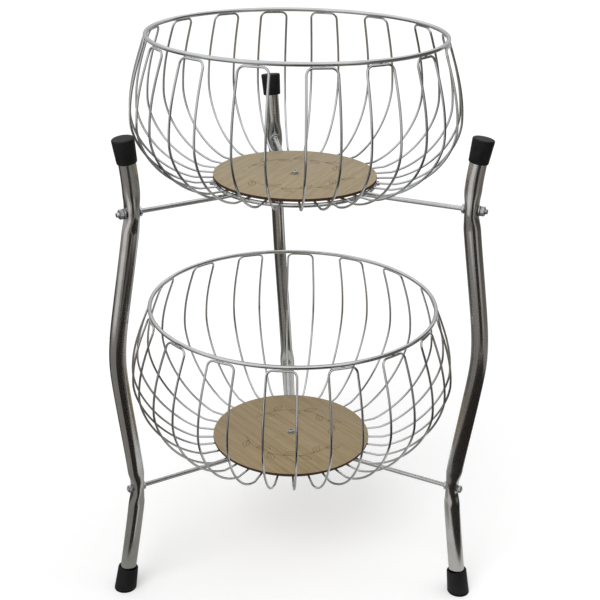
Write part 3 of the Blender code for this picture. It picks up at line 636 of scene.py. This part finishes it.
# A nut is turned to its corners' size with both ends chamfered, and its six flats are then cut. The
# chamfers grow with how far the corners stand past the flats.
def nutShape(bore, flat, low, thickness, place):
    corner, high, edge = flat / math.cos(math.radians(30)), low + thickness, nutLook["boreEdge"]
    chamfer = nutLook["cornerShare"] * (corner - flat) + nutLook["chamfer"]
    face = corner - chamfer * nutLook["chamferWidth"]
    profile = [(bore, low + edge), (bore + edge, low), (face, low), (corner, low + chamfer),
               (corner, high - chamfer), (face, high), (bore + edge, high), (bore, high - edge)]
    shape = turnedShape(profile, Matrix(), nutLook["steps"], closed=True)
    for count in range(6):
        way = polar(1, math.radians(60 * count + 30))
        cutOff(shape, way * flat, way)
    bmesh.ops.recalc_face_normals(shape, faces=shape.faces)
    moveShape(shape, place)
    return shape


def washerShape(bore, width, low, thickness, place):
    edge, high = washerLook["edge"], low + thickness
    outer = bore + width
    profile = [(bore, low + edge), (bore + edge, low), (outer - edge, low), (outer, low + edge),
               (outer, high - edge), (outer - edge, high), (bore + edge, high), (bore, high - edge)]
    return turnedShape(profile, place, washerLook["steps"], closed=True)


for tier in tiers:
    level = bowls[tier]
    for side in sides:
        bolt, outward = boltPlace(tier, side)
        place = ontoAxis @ aimed(Vector((0, 0, level["armHeight"])), outward)
        reach, seat = bolt.dot(outward), tube["depth"] / 2 - level["press"] + wire["gap"]
        inner, collarFace = level["ringRadius"] - arm["innerEnd"], reach - seat
        shoulder, washerFace = collarFace - arm["collar"], reach + seat
        nutFace = washerFace + level["washer"] + wire["gap"]
        end = nutFace + level["nut"] + level["stub"]
        rod, thread = arm["rod"] / 2, level["thread"] / 2
        collar, bore = thread + arm["collarLip"], thread + arm["slack"]
        edge, innerEdge = armLook["collarEdge"], armLook["innerEdge"]
        profile = [(0, end), (thread - armLook["chamfer"], end)]
        profile += threadProfile(nutFace + level["nut"] - armLook["threadOverlap"], end, thread)
        profile += [(thread, collarFace), (collar - edge, collarFace), (collar, collarFace - edge),
                    (collar, shoulder + edge), (collar - edge, shoulder)]
        profile += [(rod + out, shoulder - down) for out, down in armLook["fillet"]]
        profile += [(rod, inner + innerEdge), (rod - innerEdge, inner), (0, inner)]
        shape = turnedShape(profile, place, armLook["steps"])
        keepPiece(shape, f"{tier}Arm{side.capitalize()}", [chromeWire], [f"{tier}_arm_{side}"])
        shape = washerShape(bore, level["washerWidth"], washerFace, level["washer"], place)
        keepPiece(shape, f"{tier}Washer{side.capitalize()}", [zincSteel], [f"{tier}_washer_{side}"])
        shape = nutShape(bore, bore + level["nutWall"], nutFace, level["nut"], place)
        keepPiece(shape, f"{tier}Nut{side.capitalize()}", [zincSteel], [f"{tier}_nut_{side}"])
print("arms made")


# Discs and what holds them

discLook = {"steps": 128, "edgeRound": 0.35 * mm, "edgeSteps": 2}
clampLook = {"screw": 4 * mm, "headLip": 1.75 * mm, "headHeight": 2.2 * mm, "tail": 2 * mm,
             "bore": 2.4 * mm, "washerWidth": 3.1 * mm, "washer": 0.8 * mm, "stripWidth": 14 * mm,
             "strip": 2 * mm, "stripRound": 3 * mm, "stripRoundSteps": 6, "stripOverlap": 6 * mm,
             "stripEdge": 0.3 * mm, "stripEdgeSteps": 2, "nutWall": 1.1 * mm, "nut": 3.2 * mm,
             "headRim": 0.5 * mm, "headSteps": 6, "tipEdge": 0.4 * mm, "screwSteps": 40,
             "recess": (3.6 * mm, 0.9 * mm, 1.2 * mm), "recessTurn": 20}


def discShape(level):
    shape = bmesh.new()
    low = level["discTop"] - board["thickness"]
    bmesh.ops.create_circle(shape, cap_ends=True, segments=discLook["steps"], radius=level["discRadius"],
                            matrix=Matrix.Translation((0, 0, low)))
    grown = bmesh.ops.extrude_face_region(shape, geom=list(shape.faces))["geom"]
    verts = [item for item in grown if isinstance(item, bmesh.types.BMVert)]
    bmesh.ops.translate(shape, vec=(0, 0, board["thickness"]), verts=verts, space=Matrix())
    bmesh.ops.recalc_face_normals(shape, faces=shape.faces)
    roundEdges(shape, levelEdges(shape), discLook["edgeRound"], discLook["edgeSteps"])
    for face in shape.faces:
        face.material_index = 0 if face.normal.z > 0.9 else 2 if face.normal.z < -0.9 else 1
    moveShape(shape, ontoAxis)
    return shape


# A wreath of two leafy sprigs round the screw, burnt into the film as thin lines
engraving = {"ring": 60 * mm, "lineWidth": 0.7 * mm, "sunk": 0.04 * mm, "proud": 0.03 * mm, "steps": 40,
             "leaves": 7, "firstLeaf": 3, "leafEvery": 6, "leafSteps": 10, "ribPoints": (0.35, 0.7),
             "leafLong": 19 * mm, "leafWide": 4.2 * mm, "leafLean": math.radians(38),
             "sprigs": {"upper": ((-158, -22), (160, 25)), "lower": ((-170, -40), (140, 8))}}


# Lays a flat line with square edges along level points, and bridges its sections
def ribbonInto(shape, points, low, high):
    half, rings = engraving["lineWidth"] / 2, []
    for count, point in enumerate(points):
        way = points[min(count + 1, len(points) - 1)] - points[max(count - 1, 0)]
        out = Vector((-way.y, way.x, 0)).normalized() * half
        corners = [shape.verts.new(point + out * side + Vector((0, 0, height)))
                   for side, height in ((-1, low), (1, low), (1, high), (-1, high))]
        rings.append([shape.edges.new(pair) for pair in zip(corners, corners[1:] + corners[:1])])
    for ring, following in zip(rings, rings[1:]):
        bmesh.ops.bridge_loops(shape, edges=ring + following)
    for ring in (rings[0], rings[-1]):
        bmesh.ops.edgenet_fill(shape, edges=ring)


# The two sides and the rib of a leaf that grows from a point
def leafLines(root, turn):
    ahead, across = polar(engraving["leafLong"], turn), polar(engraving["leafWide"], turn + math.radians(90))
    shares = [step / engraving["leafSteps"] for step in range(engraving["leafSteps"] + 1)]
    outline = [[root + ahead * share + across * side * math.sin(math.pi * share) for share in shares]
               for side in (-1, 1)]
    return outline + [[root] + [root + ahead * share for share in engraving["ribPoints"]]]


def engravingShape(level, sprigs):
    shape = bmesh.new()
    low, high = level["discTop"] - engraving["sunk"], level["discTop"] + engraving["proud"]
    for start, end in sprigs:
        turns = [math.radians(start + (end - start) * step / engraving["steps"])
                 for step in range(engraving["steps"] + 1)]
        ribbonInto(shape, [polar(engraving["ring"], turn) for turn in turns], low, high)
        growth = math.copysign(math.pi / 2, end - start)
        for leaf in range(engraving["leaves"]):
            turn = turns[engraving["firstLeaf"] + leaf * engraving["leafEvery"]]
            lean = engraving["leafLean"] if leaf % 2 else -engraving["leafLean"]
            for line in leafLines(polar(engraving["ring"], turn), turn + growth + lean):
                ribbonInto(shape, line, low, high)
    bmesh.ops.recalc_face_normals(shape, faces=shape.faces)
    moveShape(shape, ontoAxis)
    return shape


# Sinks a cross recess into the head of a screw
def cutRecess(screw, headTop):
    shape = bmesh.new()
    long, wide, deep = clampLook["recess"]
    size = Matrix.Diagonal((long, wide, deep * 2, 1))
    for turn in (0, 90):
        spun = Matrix.Rotation(math.radians(turn + clampLook["recessTurn"]), 4, "Z")
        bmesh.ops.create_cube(shape, size=1,
                              matrix=ontoAxis @ Matrix.Translation((0, 0, headTop)) @ spun @ size)
    mesh = meshFrom(shape, "recess")
    cutter = addObject("recess", mesh)
    cut = screw.modifiers.new("recess", "BOOLEAN")
    cut.object, cut.operation, cut.solver, cut.use_self = cutter, "DIFFERENCE", "EXACT", True
    view = bpy.context.evaluated_depsgraph_get()
    whole, screw.data = screw.data, bpy.data.meshes.new_from_object(screw.evaluated_get(view))
    screw.modifiers.clear()
    bpy.data.objects.remove(cutter)
    bpy.data.meshes.remove(mesh)
    bpy.data.meshes.remove(whole)


for tier in tiers:
    level = bowls[tier]
    printed = makePrintedBoard("oakPrintedFibreboard." + tier, boardLook[tier], axis)
    keepPiece(discShape(level), tier + "Disc", [printed, scorchedEdge, bareBoard], [tier + "_disc"])
    shape = engravingShape(level, engraving["sprigs"][tier])
    keepPiece(shape, tier + "DiscEngraving", [scorchedLine], [])

    stripTop = level["ringBottom"] - wire["gap"]
    stripLow = stripTop - clampLook["strip"]
    shape = bmesh.new()
    size = Matrix.Diagonal((2 * (level["ringRadius"] + clampLook["stripOverlap"]), clampLook["stripWidth"],
                            clampLook["strip"], 1))
    lift = Matrix.Translation((0, 0, stripTop - clampLook["strip"] / 2))
    bmesh.ops.create_cube(shape, size=1, matrix=ontoAxis @ lift @ size)
    lying = levelEdges(shape)
    uprights = [edge for edge in shape.edges if edge not in lying]
    roundEdges(shape, uprights, clampLook["stripRound"], clampLook["stripRoundSteps"])
    roundEdges(shape, levelEdges(shape), clampLook["stripEdge"], clampLook["stripEdgeSteps"])
    keepPiece(shape, tier + "ClampStrip", [zincSteel], [tier + "_clamp_strip"])

    washerLow = level["discTop"] + wire["gap"]
    bore = clampLook["bore"]
    shape = washerShape(bore, clampLook["washerWidth"], washerLow, clampLook["washer"], ontoAxis)
    keepPiece(shape, tier + "DiscWasher", [zincSteel], [tier + "_disc_washer"])

    headLow = washerLow + clampLook["washer"] + wire["gap"]
    headTop, headRadius = headLow + clampLook["headHeight"], clampLook["screw"] / 2 + clampLook["headLip"]
    nutLow = stripLow - wire["gap"] - clampLook["nut"]
    tip, shank = nutLow - clampLook["tail"], clampLook["screw"] / 2
    headEdge, tipEdge = headLow + clampLook["headRim"], clampLook["tipEdge"]
    profile = [(0, headTop)]
    for step in range(1, clampLook["headSteps"] + 1):
        bend = math.radians(90) * step / clampLook["headSteps"]
        profile.append((headRadius * math.sin(bend), headEdge + (headTop - headEdge) * math.cos(bend)))
    profile += [(headRadius, headLow), (shank, headLow), (shank, tip + tipEdge), (shank - tipEdge, tip),
                (0, tip)]
    shape = turnedShape(profile, ontoAxis, clampLook["screwSteps"])
    screw = keepPiece(shape, tier + "DiscScrew", [zincSteel], [tier + "_disc_screw"])
    cutRecess(screw, headTop)

    shape = nutShape(bore, bore + clampLook["nutWall"], nutLow, clampLook["nut"], ontoAxis)
    keepPiece(shape, tier + "ClampNut", [zincSteel], [tier + "_clamp_nut"])
print("discs made")


# Camera, floor and light

cameraLook = {"place": (-52.05 * mm, -1309.8 * mm, 908.0 * mm), "pitch": 23.59, "yaw": 2.76, "roll": 1.05,
              "lens": 66.2, "sensor": 36}


def placeCamera():
    pitch, yaw, roll = (math.radians(cameraLook[name]) for name in ("pitch", "yaw", "roll"))
    ahead = Vector((math.sin(yaw) * math.cos(pitch), math.cos(yaw) * math.cos(pitch), -math.sin(pitch)))
    level = Vector((math.cos(yaw), -math.sin(yaw), 0))
    over = level.cross(ahead)
    right = level * math.cos(roll) + over * math.sin(roll)
    up = over * math.cos(roll) - level * math.sin(roll)
    data = bpy.data.cameras.new("camera")
    data.lens, data.sensor_width = cameraLook["lens"], cameraLook["sensor"]
    camera = addObject("camera", data)
    turn = Matrix((right, up, -ahead)).transposed().to_4x4()
    camera.matrix_world = Matrix.Translation(cameraLook["place"]) @ turn
    bpy.context.scene.camera = camera


stageLook = {"floorSize": 30.0, "floorWhite": 0.86, "floorGlow": 0.27, "skyLevel": 0.62}


# True for the rays that show the background: the camera's, and those that metal and glass send on
def backdropRays(tree):
    rays = addNode(tree, "ShaderNodeLightPath")
    either = addNode(tree, "ShaderNodeMath", {"operation": "MAXIMUM"},
                     {0: rays.outputs["Is Camera Ray"], 1: rays.outputs["Is Glossy Ray"]})
    return addNode(tree, "ShaderNodeMath", {"operation": "MAXIMUM"},
                   {0: either.outputs[0], 1: rays.outputs["Is Transmission Ray"]}).outputs[0]


def makeFloor():
    material, tree, shader = startMaterial("paleFloor", {"Roughness": 1.0, "Specular IOR Level": 0.0})
    shader.inputs["Base Color"].default_value = (*[stageLook["floorWhite"]] * 3, 1)
    seen = backdropRays(tree)
    glow = addNode(tree, "ShaderNodeMath", {"operation": "MULTIPLY", 1: stageLook["floorGlow"]}, {0: seen})
    shader.inputs["Emission Color"].default_value = (1, 1, 1, 1)
    tree.links.new(glow.outputs[0], shader.inputs["Emission Strength"])
    shape = bmesh.new()
    bmesh.ops.create_grid(shape, x_segments=1, y_segments=1, size=stageLook["floorSize"] / 2)
    floor = addObject("floor", meshFrom(shape, "floor", [material]))


def makeSky():
    world = bpy.data.worlds.new("studio")
    bpy.context.scene.world = world
    world.use_nodes = True
    tree = world.node_tree
    tree.nodes.clear()
    seen = backdropRays(tree)
    soft = addNode(tree, "ShaderNodeBackground", {"Color": (1, 1, 1, 1), "Strength": stageLook["skyLevel"]})
    white = addNode(tree, "ShaderNodeBackground", {"Color": (1, 1, 1, 1), "Strength": 1.0})
    mixed = addNode(tree, "ShaderNodeMixShader", links={0: seen, 1: soft.outputs[0], 2: white.outputs[0]})
    addNode(tree, "ShaderNodeOutputWorld", links={"Surface": mixed.outputs[0]})


sunLook = {"keyLight": {"energy": 0.9, "spread": 35, "from": (-0.5, -0.7, 1.2)},
           "fillLight": {"energy": 0.35, "spread": 50, "from": (0.9, 0.2, 0.9)}}


def addSun(name, look):
    data = bpy.data.lights.new(name, "SUN")
    data.energy, data.angle = look["energy"], math.radians(look["spread"])
    lamp = addObject(name, data)
    lamp.visible_glossy = False
    lamp.rotation_mode = "QUATERNION"
    lamp.rotation_quaternion = Vector(look["from"]).to_track_quat("Z", "Y")


# What the chrome mirrors, as in a plain room: a pale round sheet under the stand, painted darker towards its
# middle as painted shade of the stand, mats on a grey floor, one of them a painted shadow of the stand at
# the front left, paler walls, a pale panel at the front left, a dark one in front and a dull one on the
# right. Only reflections see these cards. Tones lie at shares of a card's span from the room's middle or of
# its height.
roomLook = {
    "steps": 72,
    "rounds": {
        "floorCard": {"start": (0, 0, 1 * mm), "end": (3.6, 0, 1 * mm), "shift": (0, 0, 0),
                      "reads": "radius", "span": 3.6,
                      "tones": [(0.0, "#8C8A86"), (0.4, "#8A8885"), (1.0, "#B0AFAC")]},
        # painted shade: this pale sheet under the stand is darker towards its middle, standing in for the
        # stand's shade on the floor
        "sheetAndShadeCard": {"start": (0, 0, 3 * mm), "end": (0.36, 0, 3 * mm), "shift": (0.08, 0.02, 0),
                      "reads": "radius", "span": 0.36,
                      "tones": [(0.0, "#BDBDBA"), (0.6, "#D0D0CE"), (1.0, "#D8D8D6")]},
        "wallCard": {"start": (3.6, 0, 1 * mm), "end": (3.6, 0, 2.3), "shift": (0, 0, 0),
                     "reads": "height", "span": 2.3,
                     "tones": [(0.0, "#B0AEAA"), (0.5, "#C6C5C3"), (1.0, "#E4E4E3")]}},
    "panels": {
        "paleCard": {"place": (-1.15, -1.05, 1.3), "lies": (90, 0, -45), "wide": 1.3, "high": 2.6,
                     "tones": [(0.0, "#E0DEDB"), (0.5, "#FFFFFF")]},
        "darkCard": {"place": (0.25, -1.3, 0.35), "lies": (90, 0, 0), "wide": 0.7, "high": 0.7,
                     "tones": [(0.0, "#2F2C28"), (1.0, "#3A3733")]},
        "dullCard": {"place": (1.1, -0.2, 0.8), "lies": (90, 0, 90), "wide": 1.8, "high": 1.6,
                     "tones": [(0.0, "#94918A"), (0.28, "#4F4C47"), (1.0, "#7A7771")]},
        "darkMat": {"place": (0.26, -0.5, 2 * mm), "lies": (0, 0, 0), "wide": 1.02, "high": 1.2,
                    "tones": [(0.0, "#302D29")]},
        "backMat": {"place": (-1.3, 0.42, 2 * mm), "lies": (0, 0, 0), "wide": 1.8, "high": 0.9,
                    "tones": [(0.0, "#4A4844")]},
        "paleMat": {"place": (0.62, 0.48, 2 * mm), "lies": (0, 0, 0), "wide": 0.5, "high": 0.4,
                    "tones": [(0.0, "#E4E4E2")]},
        # painted shadow: a grey patch on the sheet at the front left, where the stand's shadow falls on the
        # floor
        "shadeMat": {"place": (-0.14, -0.11, 4 * mm), "lies": (0, 0, 0), "wide": 0.38, "high": 0.28,
                     "tones": [(0.0, "#9B9B97")]}},
}


# A card glows in its tones, by distance from the room's middle ("radius") or by height
def makeCardMaterial(name, tones, reads, span):
    material = bpy.data.materials.new(name)
    material.use_nodes = True
    material.cycles.emission_sampling = "NONE"
    tree = material.node_tree
    tree.nodes.clear()
    place = addNode(tree, "ShaderNodeTexCoord").outputs["Object"]
    split = addNode(tree, "ShaderNodeSeparateXYZ", links={"Vector": place})
    flat = addNode(tree, "ShaderNodeCombineXYZ", links={"X": split.outputs["X"], "Y": split.outputs["Y"]})
    distance = addNode(tree, "ShaderNodeVectorMath", {"operation": "LENGTH"}, {0: flat.outputs["Vector"]})
    source = distance.outputs["Value"] if reads == "radius" else split.outputs["Z"]
    share = addNode(tree, "ShaderNodeMath", {"operation": "DIVIDE", 1: span}, {0: source})
    tint = addNode(tree, "ShaderNodeValToRGB", links={"Fac": share.outputs[0]})
    setRamp(tint, tones)
    glow = addNode(tree, "ShaderNodeEmission", links={"Color": tint.outputs["Color"]})
    addNode(tree, "ShaderNodeOutputMaterial", links={"Surface": glow.outputs[0]})
    return material


def addCard(name, shape, material):
    card = addObject(name, meshFrom(shape, name, [material]))
    card.visible_camera = card.visible_diffuse = card.visible_shadow = False
    card.visible_transmission = card.visible_volume_scatter = False


def makeRoom():
    for name, card in roomLook["rounds"].items():
        shape = bmesh.new()
        verts = [shape.verts.new(card[point]) for point in ("start", "end")]
        spinRound(shape, verts + [shape.edges.new(verts)], roomLook["steps"])
        bmesh.ops.translate(shape, vec=card["shift"], verts=shape.verts, space=Matrix())
        addCard(name, shape, makeCardMaterial(name + "Tones", card["tones"], card["reads"], card["span"]))
    for name, panel in roomLook["panels"].items():
        shape = bmesh.new()
        turn = Euler([math.radians(angle) for angle in panel["lies"]]).to_matrix().to_4x4()
        size = Matrix.Diagonal((panel["wide"] / 2, panel["high"] / 2, 1, 1))
        bmesh.ops.create_grid(shape, x_segments=1, y_segments=1, size=1,
                              matrix=Matrix.Translation(panel["place"]) @ turn @ size)
        addCard(name, shape, makeCardMaterial(name + "Tones", panel["tones"], "height", panel["high"]))


placeCamera()
makeFloor()
makeSky()
makeRoom()
for name, look in sunLook.items():
    addSun(name, look)
bpy.context.scene.view_settings.view_transform = "Standard"
print("stage set")
